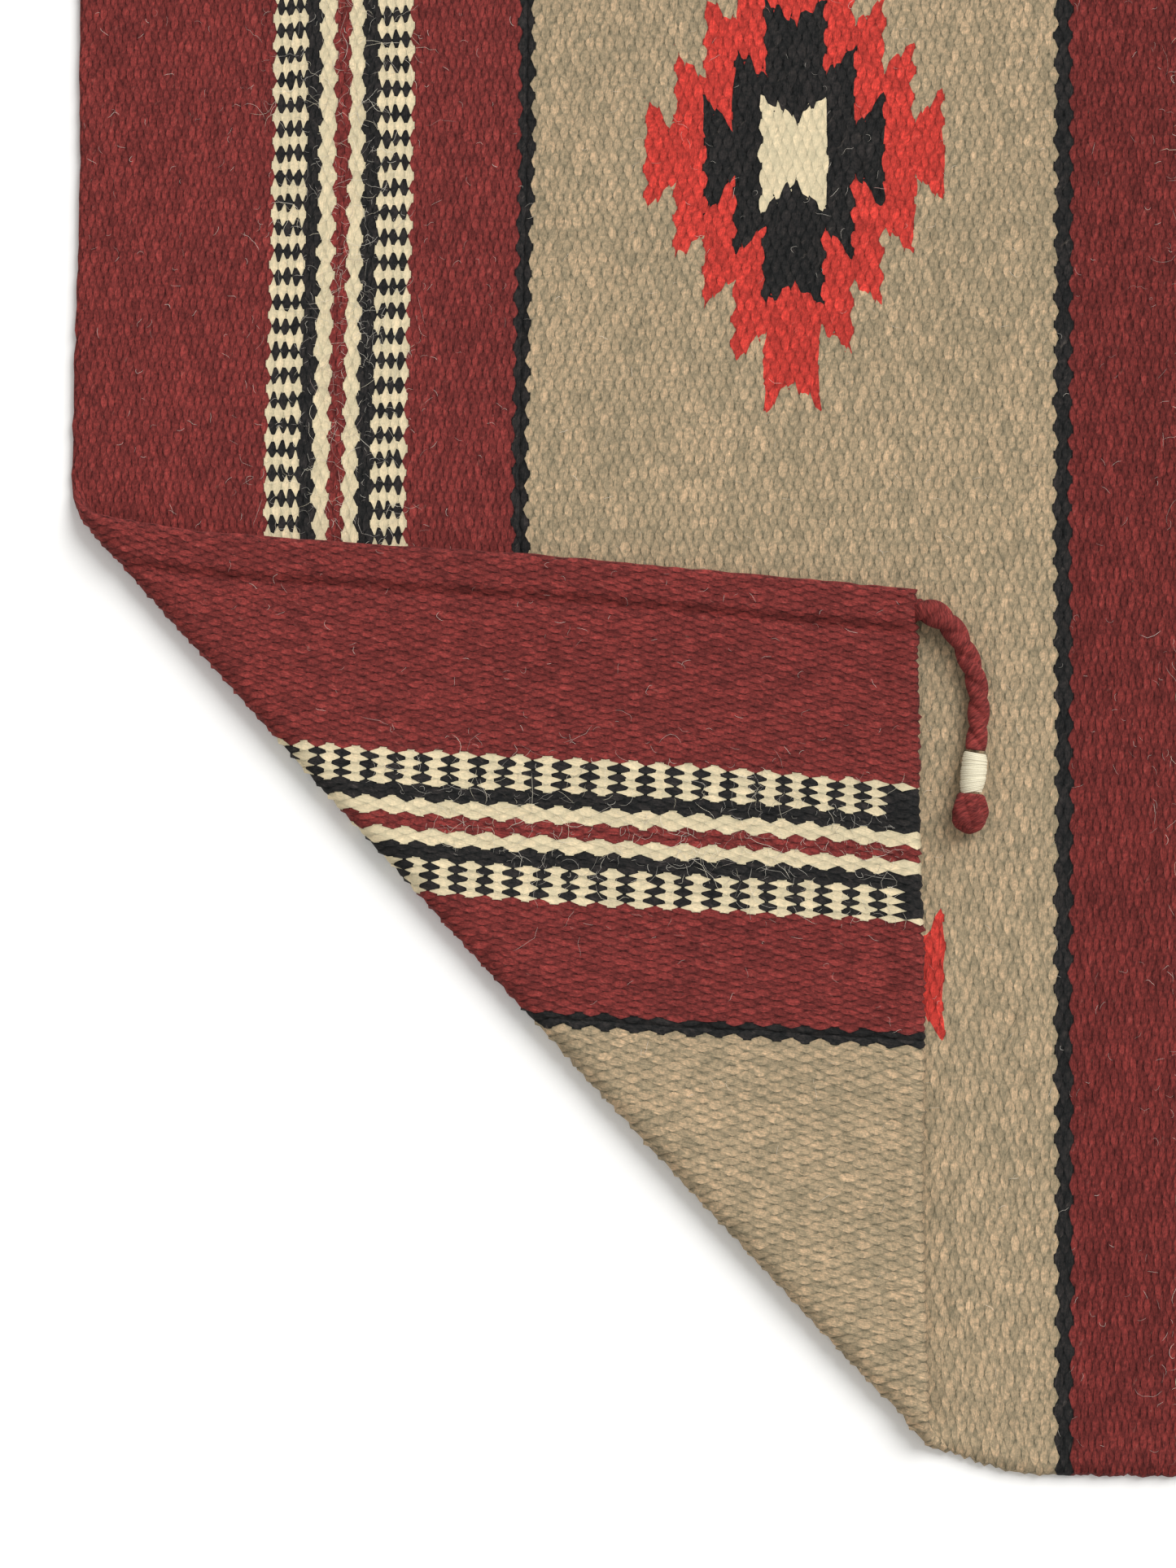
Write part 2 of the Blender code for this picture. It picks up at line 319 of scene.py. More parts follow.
design = {
    # how many picks each area reaches from the middle of its stripe group or panel
    "stripeReach": {"checker": 16.0, "black": 9.0, "cream": 5.0, "maroon": 2.0},
    "panelReach": {"Black": 56.0, "Beige": 53.0},
    "fieldFrom": 224.5,  # the pick where the darker maroon starts
    "crownHalf": 0.70,
    "creamExtra": 0.18,
    "acrossShare": 0.8,
    "coveredFrom": 2.6,  # warps from a selvedge where crowns begin to cover their neighbours
    "edgeWarps": 1.5,
    "wobble": 2.2,
    "wobbleScale": 0.11,
    "softPicks": (0.45, 0.55),  # shares of the soft edge and of the one that follows the crowns
    "softWarps": (0.6, 0.4),
    # lobes on each side, picks of the middle lobe, and how far it is notched
    "diamonds": {"Red": (5.0, 5.6, 2.5), "Black": (3.0, 6.06, 2.4), "Cream": (1.0, 6.72, 2.1)},
}


def makeDesignGroup(diamondGroup, diamondWarps):
    tree, given, put = newGroup(
        "runnerDesign",
        {"Pick": "Float", "Warp": "Float", "Along": "Float", "Across": "Float", "Weave": "Vector",
         **dict.fromkeys(yarns, "Color")},
        {"Colour": "Color"})

    def towardsMiddle(value):
        return minus(tree, plan["middle"], maths(tree, "ABSOLUTE", minus(tree, value, plan["middle"])))

    def checkerTurn(stripe):
        return maths(tree, "FLOORED_MODULO", minus(tree, 15.5, stripe), 2.0)

    # the cream yarn is the fattest, so its crowns cover the ends of their neighbours'
    reaches = design["stripeReach"]
    own = nearest(tree, towardsMiddle(given["Pick"]), plan["stripeCentres"])
    checkerCream = times(tree, isOver(tree, own, reaches["black"]), isUnder(tree, checkerTurn(own), 0.5))
    stripeCream = times(tree, isOver(tree, own, reaches["maroon"]), isUnder(tree, own, reaches["cream"]))
    half = timesPlus(tree, maths(tree, "MAXIMUM", checkerCream, stripeCream), design["creamExtra"],
                     design["crownHalf"])
    reach = maths(tree, "DIVIDE", given["Along"], half)
    reach = timesPlus(tree, reach, reach,
                      times(tree, times(tree, given["Across"], given["Across"]), design["acrossShare"]))
    halfWarps = plan["warps"] / 2
    fromEdge = minus(tree, halfWarps, maths(tree, "ABSOLUTE", minus(tree, given["Warp"], halfWarps)))
    covered = times(tree, isOver(tree, reach, 1.0), maths(tree, "SIGN", given["Across"]))
    covered = times(tree, covered, isOver(tree, fromEdge, design["coveredFrom"]))
    pick = towardsMiddle(plus(tree, given["Pick"], covered))
    stripe = nearest(tree, pick, plan["stripeCentres"])
    # the black picks of the checkers also wrap the selvedge
    edgeBlack = times(tree, isUnder(tree, fromEdge, design["edgeWarps"]), isUnder(tree, stripe, 15.0))
    isBlackPick = maths(tree, "MAXIMUM", isOver(tree, checkerTurn(stripe), 0.5), edgeBlack)
    maroon = blendColour(tree, isOver(tree, pick, design["fieldFrom"]), given["Maroon"], given["Field"])
    areas = {"checker": blendColour(tree, isBlackPick, given["Cream"], given["Black"]),
             "black": given["Black"], "cream": given["Cream"], "maroon": maroon}
    colour = maroon
    for name, yarn in areas.items():
        colour = blendColour(tree, isUnder(tree, stripe, reaches[name]), colour, yarn)
    panel = nearest(tree, pick, plan["panelCentres"])
    for yarn, reach in design["panelReach"].items():
        colour = blendColour(tree, isUnder(tree, panel, reach), colour, given[yarn])
    # diamond edges follow the crowns only in part, as tapestry joins do
    softP, softW, _ = separate(tree, given["Weave"])
    wobble = separate(tree, grain(tree, given["Weave"], design["wobbleScale"])["Color"])

    def softened(soft, crisp, shares, sway):
        place = timesPlus(tree, soft, shares[0], times(tree, crisp, shares[1]))
        sway = times(tree, minus(tree, sway, 0.5), design["wobble"])
        return maths(tree, "ABSOLUTE", plus(tree, place, sway))

    picks = softened(nearest(tree, towardsMiddle(softP), plan["panelCentres"]), panel, design["softPicks"],
                     wobble[0])
    warps = softened(nearest(tree, softW, diamondWarps), nearest(tree, given["Warp"], diamondWarps),
                     design["softWarps"], wobble[1])
    for yarn, (lobes, middle, notch) in design["diamonds"].items():
        inside = useGroup(tree, diamondGroup, Picks=picks, Warps=warps, Lobes=lobes, Middle=middle, Notch=notch)
        colour = blendColour(tree, inside["Inside"], colour, given[yarn])
    setSocket(tree, put["Colour"], colour)
    return tree


# Wool: fibres twisted round each crown, melange, painted shade in the gaps between the crowns
wool = {
    "fibresAcross": 9.0, "fibresAlong": 1.3, "twist": 3.2, "fibreGrain": (0.62, 3.0, 0.6),
    "strokes": (1.5, 0.7), "strokeSlants": (0.47, -0.16), "fluffGrain": (1.0, 4.0, 0.7),
    "patchGrain": (0.055, 3.0, 0.6), "speckStretch": (0.9, 2.6), "speckGrain": (1.5, 2.0, 0.7),
    "gapShadeFrom": (0.72, -0.2), "gapPaintedShade": 0.93,  # crown heights where the painted shade of a gap starts and is darkest
    "closedOver": 0.42, "closedRise": 3.2, "closedShare": 0.6,
    # painted light on the crown tops and painted shade where the weft dips
    "dipShadeFrom": (0.30, 0.62), "dipPaintedLight": 1.05, "dipPaintedShade": 0.87,
    # how much each effect varies the light, and its least
    "fibreLight": (1.9, 0.12), "fluffLight": (1.4, 0.36), "crownLight": (0.36, 0.83), "patchLight": (0.24, 0.88),
    "speckLight": (2.0, 0.0),
    "redSoftening": 0.8, "paleSoftening": 1.3, "mostSoftening": 0.80, "softTowards": 0.9,
    # tints of the painted highlights and of the darker parts, painted shade among them
    "highlightFrom": 0.55, "shadeTint": (0.96, 1.0, 1.0, 1), "highlightTint": (1.17, 0.99, 0.93, 1),
    "strayOver": 0.62, "strayRise": 1.6, "strayShare": 0.5, "strayColour": (0.55, 0.45, 0.36, 1),
    "roughness": (0.2, 0.78), "heights": {"crown": 0.75, "fibre": 0.26, "fluff": 0.12}, "bumpDepth": 0.0003,
}


def makeWoolGroup():
    tree, given, put = newGroup(
        "woolYarn",
        {"Colour": "Color", "Weave": "Vector", "Side": "Float", "Crown": "Float", "Along": "Float",
         "Chance": "Float"},
        {"Colour": "Color", "Roughness": "Float", "Height": "Float"})
    p, w, _ = separate(tree, given["Weave"])
    # the twist leans the same way whichever side of the cloth is seen
    sideP = times(tree, p, given["Side"])
    across = timesPlus(tree, sideP, wool["fibresAcross"], times(tree, w, wool["twist"]))
    along = times(tree, w, wool["fibresAlong"])
    fibre = grain(tree, combine(tree, across, along, times(tree, given["Chance"], 31.0)), *wool["fibreGrain"])["Fac"]
    strokes = [times(tree, timesPlus(tree, sideP, slant, w), size)
               for slant, size in zip(wool["strokeSlants"], wool["strokes"])]
    fluff = grain(tree, combine(tree, *strokes), *wool["fluffGrain"])["Fac"]
    patch = grain(tree, given["Weave"], *wool["patchGrain"])["Fac"]
    overSpeck, alongSpeck = wool["speckStretch"]
    speck = combine(tree, times(tree, p, overSpeck), times(tree, w, alongSpeck), 7.0)
    speck = grain(tree, speck, *wool["speckGrain"])["Fac"]
    # painted shade: the gaps between the crowns are darkened as if shade fell into them
    gap = easedRange(tree, given["Crown"], *wool["gapShadeFrom"], 1.0, 1.0 - wool["gapPaintedShade"])
    # loose wool closes some of the gaps and lifts their painted shade
    closed = minus(tree, grain(tree, given["Weave"], 0.9)["Fac"], wool["closedOver"], clamp=True)
    closed = times(tree, closed, wool["closedRise"], clamp=True)
    light = timesPlus(tree, minus(tree, 1.0, gap), times(tree, closed, wool["closedShare"]), gap)
    # painted shade where the weft dips between one warp and the next, and a little painted light on the crown tops
    fromTop = maths(tree, "ABSOLUTE", given["Along"])
    light = times(tree, light, easedRange(tree, fromTop, *wool["dipShadeFrom"], wool["dipPaintedLight"], wool["dipPaintedShade"]))
    for source, effect in ((fibre, "fibreLight"), (fluff, "fluffLight"), (given["Chance"], "crownLight"),
                           (patch, "patchLight"), (speck, "speckLight")):
        light = times(tree, light, timesPlus(tree, source, *wool[effect]))
    # pale yarns scatter light inside, which evens them out
    red, green, _ = separate(tree, given["Colour"])
    pale = maths(tree, "MAXIMUM", times(tree, red, wool["redSoftening"]), times(tree, green, wool["paleSoftening"]))
    pale = maths(tree, "MINIMUM", pale, wool["mostSoftening"])
    light = plus(tree, light, times(tree, minus(tree, wool["softTowards"], light), pale))
    # painted highlight: the lighter parts, lit crown tops among them, take a warm tint, and the darker parts,
    # painted shade among them, a cool one
    paintedLightTint = blendColour(tree, minus(tree, light, wool["highlightFrom"], clamp=True), wool["shadeTint"], wool["highlightTint"])
    lit = blendColour(tree, 1.0, shadeColour(tree, given["Colour"], light), paintedLightTint, "MULTIPLY")
    # stray fibres paler than the yarn
    stray = times(tree, minus(tree, fluff, wool["strayOver"], clamp=True), wool["strayRise"], clamp=True)
    lit = blendColour(tree, times(tree, stray, wool["strayShare"]), lit, wool["strayColour"])
    heights = wool["heights"]
    crown = maths(tree, "POWER", maths(tree, "MAXIMUM", given["Crown"], 0.0), 0.7)
    height = timesPlus(tree, fibre, heights["fibre"], times(tree, fluff, heights["fluff"]))
    setSocket(tree, put["Colour"], lit)
    setSocket(tree, put["Roughness"], timesPlus(tree, fluff, *wool["roughness"]))
    setSocket(tree, put["Height"], plus(tree, times(tree, crown, heights["crown"]), height))
    return tree


def startMaterial(name):
    material = bpy.data.materials.new(name)
    material.use_nodes = True
    return material, material.node_tree, material.node_tree.nodes["Principled BSDF"]


def addBump(tree, shader, height, distance):
    bump = tree.nodes.new("ShaderNodeBump")
    bump.inputs["Distance"].default_value = distance
    tree.links.new(height, bump.inputs["Height"])
    tree.links.new(bump.outputs["Normal"], shader.inputs["Normal"])


woolSurface = {"Specular IOR Level": 0.08, "Sheen Weight": 0.03, "Sheen Roughness": 0.5}


def finishWool(tree, shader, colour, roughness, height, bumpDepth):
    tree.links.new(colour, shader.inputs["Base Color"])
    tree.links.new(roughness, shader.inputs["Roughness"])
    for label, value in woolSurface.items():
        shader.inputs[label].default_value = value
    addBump(tree, shader, height, bumpDepth)


def weaveColour(tree, groups):
    # The weave's UV, the crown at each point of it, and the colour of that crown's yarn
    weave = uvMap(tree, "weave")
    crown = useGroup(tree, groups["lattice"], Weave=weave)
    design = useGroup(tree, groups["design"], Pick=crown["Pick"], Warp=crown["Warp"], Along=crown["Along"],
                      Across=crown["Across"], Weave=crown["Weave"], **yarns)
    return weave, crown, design["Colour"]


def makeClothMaterial(groups):
    material, tree, shader = startMaterial("wovenWool")
    weave, crown, colour = weaveColour(tree, groups)
    side = separate(tree, uvMap(tree, "side"))[0]
    yarn = useGroup(tree, groups["wool"], Colour=colour, Weave=weave, Side=side, Crown=crown["Crown"],
                    Along=crown["Along"], Chance=crown["Chance"])
    finishWool(tree, shader, yarn["Colour"], yarn["Roughness"], yarn["Height"], wool["bumpDepth"])
    return material


# the cloth's shape

cloth = {
    "thickness": 0.0023,
    "middle": 0.0014,  # height of the cloth's middle above the table
    "lowest": 0.00002,  # no part of the cloth lies lower
    "crown": {"thin": 0.00014, "plain": 0.00019, "full": 0.00021},
    "crownSpread": 0.28,  # how unevenly the crowns stand up, as a share of their height
    "pickSpread": 0.13,  # how far crowns stray along the runner, in picks
    "warpSpread": 0.00024,
    "rib": 0.00036,  # the fatter warps along each selvedge
    "ribValley": -1.1,  # the dip beside them, as a share of that
    "bulge": 0.0010,  # how far the weft loops round the last warp
    "bulgeShort": 0.72,  # share of that at every second pick
    "endOut": 0.00035,  # how far the cloth's rounded ends stand out, and their share of its thickness
    "endFlat": 0.4,
    "wave": 0.0002,
    "waveSize": 0.12,
    "ridge": {"height": 0.00016, "at": 0.1955, "width": 0.0035},
    "drift": (0.00030, 0.00035),  # slow straying of picks and of warps, and the size of its waves
    "driftSize": (0.05, 0.06),
    "flare": 0.245,  # length over which the cloth widens from its ends
    "flareEnd": 0.215,
    "flareFade": 0.026,  # the last part of the flare eases into the straight selvedge
    "drawIn": {"leftLower": 0.0276, "leftUpper": 0.0150, "rightLower": 0.0150, "rightUpper": 0.0180},
    # bands near the left end bow towards it: how far, up to which place across, and the width it fades over
    "bowEnd": (0.0017, 0.095, 0.080),
    "bowInner": (0.0028, 0.112, 0.105),
    "bowStart": (0.022, 0.035),  # begins this far below the middle, and grows over this width
    "bowDeep": 0.03,
    "bowFade": 0.24,
    # warps lie closer together towards the upper selvedge: how much, from where, over what share
    "warpsCloser": (0.156, 0.413, 0.357),
    "seed": 11,
}
fold = {
    "radius": 0.0022,
    "radiusWaver": 0.00025,
    "layers": 0.0033,
    "settle": 0.030,
    # how far the rolled edge stands out, along the crease
    "outAt": [-0.003, 0.0015, 0.006, 0.030, 0.080, 0.190, 0.245, 0.280],
    "out": [-0.0004, 0.0008, 0.0011, 0.0013, 0.0019, 0.0018, 0.0012, 0.0006],
    "shiftFade": 0.070,
    # the layers never touch: the flat cloth lies under "below", the turned corner over "above"
    "below": 0.00310,
    "above": 0.00322,
    "spare": 0.00002,  # a margin this far inside that gap
}
hem = {"width": 0.0093, "raise": 0.0011, "edge": 0.0016, "groove": 0.0009, "grooveAfter": 0.0004,
       "grooveWidth": 0.0011, "round": 0.0013, "roundLeast": 0.12, "free": 0.006}


def smoothStep(value):
    value = np.clip(value, 0, 1)
    return value * value * (3 - 2 * value)


def pickPlaces():
    # Distance of each pick from the left end; the right half mirrors the left
    places, starts = [], 0.0
    for picks, width in plan["bands"]:
        places += [starts + width * (n + 0.5) / picks for n in range(picks)]
        starts += width
    half = np.array(places)
    length = runner["right"] - runner["left"]
    half = half * (length / 2 / starts)
    return np.concatenate([half, length - half[::-1]])


def warpPlaces():
    # Warps lie closer together towards the upper selvedge; +1 is that selvedge and -1 the lower
    across = np.linspace(0, 1, 400)
    closer, begins, over = cloth["warpsCloser"]
    pitch = 1 + closer * smoothStep((across - begins) / over)
    run = np.concatenate([[0], np.cumsum((1 / pitch[1:] + 1 / pitch[:-1]) / 2)])
    count = plan["warps"]
    wanted = (np.arange(count) + 0.25) / (count - 0.5) * run[-1]
    return 1 - 2 * np.interp(wanted, run, across)


def waver(x, y, seed, size):
    # A slow uneven drift, the same at every run
    draw = np.random.default_rng(seed)
    total = np.zeros(np.broadcast(x, y).shape)
    for _ in range(6):
        turn, phase = draw.uniform(0, math.tau, 2)
        wave = size * draw.uniform(0.6, 1.8)
        total = total + np.sin((x * math.cos(turn) + y * math.sin(turn)) * math.tau / wave + phase)
    return total / 6


def flareShare(inward):
    # 1 at the very end of the cloth, falling to 0 where it reaches its full width
    return np.clip(1 - inward / cloth["flare"], 0, 1) * smoothStep(
        (cloth["flareEnd"] - inward) / cloth["flareFade"])


def flatPlace(fromEnd, across):
    # Where a point of the weave lies on the flat cloth
    length = runner["right"] - runner["left"]
    half = runner["halfWidth"]
    left = fromEnd < length / 2
    inward = np.minimum(fromEnd, length - fromEnd)
    narrow = flareShare(inward)
    upper = np.where(left, cloth["drawIn"]["leftUpper"], cloth["drawIn"]["rightUpper"])
    lower = np.where(left, cloth["drawIn"]["leftLower"], cloth["drawIn"]["rightLower"])
    y = across * (half - np.where(across > 0, upper, lower) * narrow)
    x = runner["left"] + fromEnd
    starts, over = cloth["bowStart"]
    bows = [size * (smoothStep((high - y) / fade) * smoothStep((y + starts) / over))
            for size, high, fade in (cloth["bowEnd"], cloth["bowInner"])]
    deep = smoothStep(fromEnd / cloth["bowDeep"])
    x = x - (bows[0] * (1 - deep) + bows[1] * deep) * np.clip(1 - fromEnd / cloth["bowFade"], 0, 1)
    x = x + cloth["drift"][0] * waver(x, y, 3, cloth["driftSize"][0]) * np.clip(inward / 0.02, 0, 1)
    y = y + cloth["drift"][1] * waver(x, y, 4, cloth["driftSize"][1])
    return x, y


def rise(x, y):
    # The slow waves of the cloth, and one low ridge across the left panel
    ridge = cloth["ridge"]
    ridge = ridge["height"] * np.exp(-((x - runner["left"] - ridge["at"]) / ridge["width"]) ** 2)
    return cloth["wave"] * (0.5 + 0.5 * waver(x, y, 5, cloth["waveSize"])) + ridge


def fromCrease(x, y, way):
    return (x - runner["creasePoint"][0]) * way[0] + (y - runner["creasePoint"][1]) * way[1]


def foldCorner(x, y, height):
    # Everything beyond the crease turns over and lies on the cloth; each point's distance from it comes last
    along, normal, point = runner["creaseAlong"], runner["creaseNormal"], runner["creasePoint"]
    s = fromCrease(x, y, normal)
    t = fromCrease(x, y, along)
    above = height - cloth["middle"]
    radius = fold["radius"] + fold["radiusWaver"] * waver(t, 0 * t, 8, 0.06)
    out = np.interp(t, fold["outAt"], fold["out"])
    turnEnd = math.pi * radius / 2
    rolled = s + out
    angle = np.clip((turnEnd - rolled) / radius, 0, math.pi)
    reach = radius - above
    beyond = np.clip(-rolled - turnEnd, 0, None)
    settled = (2 * radius - fold["layers"]) * smoothStep(beyond / fold["settle"])
    back = turnEnd - reach * np.sin(angle) + beyond - out + 2 * out * smoothStep(beyond / fold["shiftFade"])
    newS = np.where(rolled > turnEnd, s, back)
    newHeight = np.where(rolled > turnEnd, height, cloth["middle"] + radius - reach * np.cos(angle) - settled)
    newX = point[0] + t * along[0] + newS * normal[0]
    newY = point[1] + t * along[1] + newS * normal[1]
    newHeight = newHeight + rise(newX, newY)
    newHeight = np.where(rolled > turnEnd, np.minimum(newHeight, fold["below"]), newHeight)
    newHeight = np.where(rolled < -turnEnd, np.maximum(newHeight, fold["above"]), newHeight)
    return newX, newY, newHeight, s


def yarnFullness():
    # Crown height of each pick: fullest in the checkers, the cream and the panels, least in four-pick stripes
    full = []
    for index, (count, _) in enumerate(plan["bands"]):
        kind = "thin" if count == 4 else "full" if count in (3, 7, 106, 53) and index else "plain"
        full += [cloth["crown"][kind]] * count
    return np.array(full + full[::-1])


def weaveCloth():
    # Face, reverse and selvedge points for every crossing of the whole runner
    draw = np.random.default_rng(cloth["seed"])
    fromEnd = pickPlaces()
    across = warpPlaces()
    picks, warps = len(fromEnd), len(across)
    j, i = np.meshgrid(np.arange(picks), np.arange(warps), indexing="ij")
    fullness = yarnFullness()[:, None] * draw.normal(1, cloth["crownSpread"], (picks, warps))
    high = np.where((i + j) % 2 == 0, fullness, -fullness)
    x, y = flatPlace(fromEnd[:, None], across[None, :])
    step = np.gradient(fromEnd)[:, None]
    x = x + draw.normal(0, cloth["pickSpread"], x.shape) * step
    y = y + draw.normal(0, cloth["warpSpread"], y.shape)
    half = cloth["thickness"] / 2
    edge = np.minimum(i, warps - 1 - i)
    rib = cloth["rib"] * np.select([edge < 2, edge == 2], [1.0, cloth["ribValley"]], 0.0)
    toEnd = np.minimum(fromEnd, fromEnd[-1] + fromEnd[0] - fromEnd)[:, None]
    rounding = np.sqrt(np.clip(1 - (1 - toEnd / hem["round"]) ** 2, hem["roundLeast"], 1))
    rounding = np.where(toEnd < hem["round"], rounding, 1)
    face = (half + high + rib) * rounding
    back = (half - high + rib) * rounding
    # the turned hem, on the reverse; pressed flat where it lies under the cloth beside the fold
    s = fromCrease(x, y, runner["creaseNormal"])
    free = np.where(x < 0, smoothStep(-s / hem["free"]), 1)
    turned = smoothStep((hem["width"] - toEnd) / hem["edge"])
    groove = np.exp(-((toEnd - hem["width"] - hem["grooveAfter"]) / hem["grooveWidth"]) ** 2)
    extra = free * (hem["raise"] * turned * rounding - hem["groove"] * groove)
    back = back + extra
    lift = np.where(x > 0, np.clip(extra, 0, None), 0)
    return {"x": x, "y": y, "face": cloth["middle"] + face + lift, "back": cloth["middle"] - back + lift,
            "edge": cloth["middle"] + lift, "fromEnd": fromEnd}


def selvedge(weave, side):
    # The loops of weft round the last warp, one for each pick
    column = 0 if side > 0 else -1
    x, y = weave["x"][:, column], weave["y"][:, column]
    bump = np.where(np.arange(len(x)) % 2 == 0, 1.0, cloth["bulgeShort"])
    return x, y + side * cloth["bulge"] * bump, weave["edge"][:, column]


def clothRings(weave, first, last):
    # One closed ring of points round the cloth for each pick, face first
    topX, topY, topZ = selvedge(weave, 1)
    lowX, lowY, lowZ = selvedge(weave, -1)
    x, y, z = (np.concatenate([face, low[:, None], back[:, ::-1], top[:, None]], axis=1)[first:last + 1]
               for face, low, back, top in ((weave["x"], lowX, weave["x"], topX),
                                            (weave["y"], lowY, weave["y"], topY),
                                            (weave["face"], lowZ, weave["back"], topZ)))
    warps = plan["warps"]
    w = np.concatenate([np.arange(warps), [warps - 0.4], np.arange(warps, 0, -1), [-0.6]])
    uv = np.stack(np.broadcast_arrays(np.arange(first, last + 1)[:, None], w[None, :]), axis=-1).astype(float)
    # the runner's own ends are rounded off by one more ring
    for isEnd, index, out in ((first == 0, 0, -1), (last == len(weave["fromEnd"]) - 1, -1, 1)):
        if isEnd:
            flat = cloth["middle"] + (z[index] - cloth["middle"]) * cloth["endFlat"]
            added = (x[index] + out * cloth["endOut"], y[index], flat, uv[index] + (out * 0.5, 0))
            x, y, z, uv = (np.concatenate([[new], old] if out < 0 else [old, [new]])
                           for new, old in zip(added, (x, y, z, uv)))
    return x, y, z, uv


def rows(*columns):
    # One row for each point or triangle
    return np.stack(columns, -1).reshape(-1, len(columns))


def quadCorners(rings, around):
    # The rings and places of all quads between rings of points, and the points at each quad's corners
    j, k = np.meshgrid(np.arange(rings - 1), np.arange(around), indexing="ij")
    beside = (k + 1) % around
    return j, k, (j * around + k, (j + 1) * around + k, (j + 1) * around + beside, j * around + beside)


def ringTriangles(rings, around, firstPick):
    # Split each quad along its valleys, so that every crown stands alone
    j, k, (a, b, c, d) = quadCorners(rings, around)
    warps = plan["warps"]
    warp = np.where(k < warps, k, 2 * warps - k + 1)
    crownAtA = ((j + firstPick + warp) % 2 == 0)[..., None]
    one = np.where(crownAtA, np.stack([a, b, d], -1), np.stack([a, b, c], -1))
    two = np.where(crownAtA, np.stack([b, c, d], -1), np.stack([a, c, d], -1))
    return np.concatenate([one.reshape(-1, 3), two.reshape(-1, 3)])


def capTriangles(offset, flip):
    # Closes a cut end of the cloth with quads between face and reverse
    warps = plan["warps"]
    triangles = []
    for k in range(warps - 1):
        back = 2 * warps - k
        triangles += [(k, k + 1, back - 1), (k, back - 1, back)]
    triangles += [(warps - 1, warps, warps + 1), (2 * warps, 2 * warps + 1, 0)]
    triangles = np.array(triangles) + offset
    return triangles[:, ::-1] if flip else triangles


def buildMesh(name, points, triangles, uv, material, side=None):
    mesh = bpy.data.meshes.new(name)
    mesh.vertices.add(len(points))
    mesh.vertices.foreach_set("co", points.astype(np.float32).ravel())
    mesh.loops.add(triangles.size)
    mesh.loops.foreach_set("vertex_index", triangles.ravel().astype(np.int32))
    mesh.polygons.add(len(triangles))
    mesh.polygons.foreach_set("loop_start", np.arange(0, triangles.size, 3, dtype=np.int32))
    mesh.update(calc_edges=True)
    layer = mesh.uv_layers.new(name="weave")
    layer.data.foreach_set("uv", uv[triangles.ravel()].astype(np.float32).ravel())
    if side is not None:
        sides = np.stack([side, np.zeros(len(side))], -1)[triangles.ravel()]
        mesh.uv_layers.new(name="side").data.foreach_set("uv", sides.astype(np.float32).ravel())
    mesh.materials.append(material)
    mesh.shade_smooth()
    mesh.validate()
    piece = bpy.data.objects.new(name, mesh)
    bpy.context.scene.collection.objects.link(piece)
    return piece


def makeClothPiece(weave, name, first, last, material):
    x, y, z, uv = clothRings(weave, first, last)
    x, y, z, _ = foldCorner(x, y, z)
    z = np.maximum(z, cloth["lowest"])
    rings, around = x.shape
    points = rows(x, y, z)
    triangles = np.concatenate([
        ringTriangles(rings, around, first if first else -1),  # the first piece has one more ring at its start
        capTriangles(0, flip=False),
        capTriangles((rings - 1) * around, flip=True)])
    # +1 on the face, -1 on the reverse
    side = np.tile(np.repeat([1.0, -1.0], around // 2), rings)
    return buildMesh(name, points, triangles, uv.reshape(-1, 2), material, side)


stripeNodes = ["outer_checker", "outer_black_stripe", "outer_cream_stripe", "middle_maroon_stripe",
               "inner_cream_stripe", "inner_black_stripe", "inner_checker"]
endNodes = ["hem", "end_band", *stripeNodes, "maroon_border", "outer_line"]
diamondNodes = [f"left_{place}_diamond_{yarn}" for place in ("upper", "lower") for yarn in ("red", "black", "cream")]
# Each piece ends in the middle of a black stripe, so no join shows: last pick, slot, nodes it stands for
clothPieces = [
    ("left_end_cloth", 115, "maroon_wool",
     [side + "_" + node for side in ("left", "folded") for node in endNodes]),
    ("left_panel_cloth", 263, "beige_wool",
     ["left_panel_ground", "folded_panel_ground", "left_inner_line", *diamondNodes]),
    ("left_outer_field_cloth", 593, "maroon_wool", ["left_striped_field"]),
    ("left_inner_field_cloth", 923, "maroon_wool", ["left_striped_field"]),
    ("centre_panel_cloth", 1140, "beige_wool",
     ["centre_left_line", "centre_panel_ground", "centre_right_line", "centre_upper_diamond",
      "centre_lower_diamond"]),
    ("right_inner_field_cloth", 1470, "maroon_wool", ["right_striped_field"]),
    ("right_outer_field_cloth", 1800, "maroon_wool", ["right_striped_field"]),
    ("right_panel_cloth", 1948, "beige_wool",
     ["right_inner_line", "right_panel_ground", "right_upper_diamond", "right_lower_diamond"]),
    ("right_end_cloth", 2063, "maroon_wool",
     ["right_outer_line", "right_maroon_border", "right_stripes", "right_end_band", "right_hem"]),
]


def makeCloth(weave, material):
    first = 0
    for name, last, slot, nodes in clothPieces:
        piece = makeClothPiece(weave, name, first, last, material)
        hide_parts(*nodes)
        folded = any(node.startswith("folded") for node in nodes)
        if folded:
            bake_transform(piece)
        else:
            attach(piece, "runner")
        first = last
        print("woven", name, len(piece.data.polygons), "triangles")


# the corner tassels

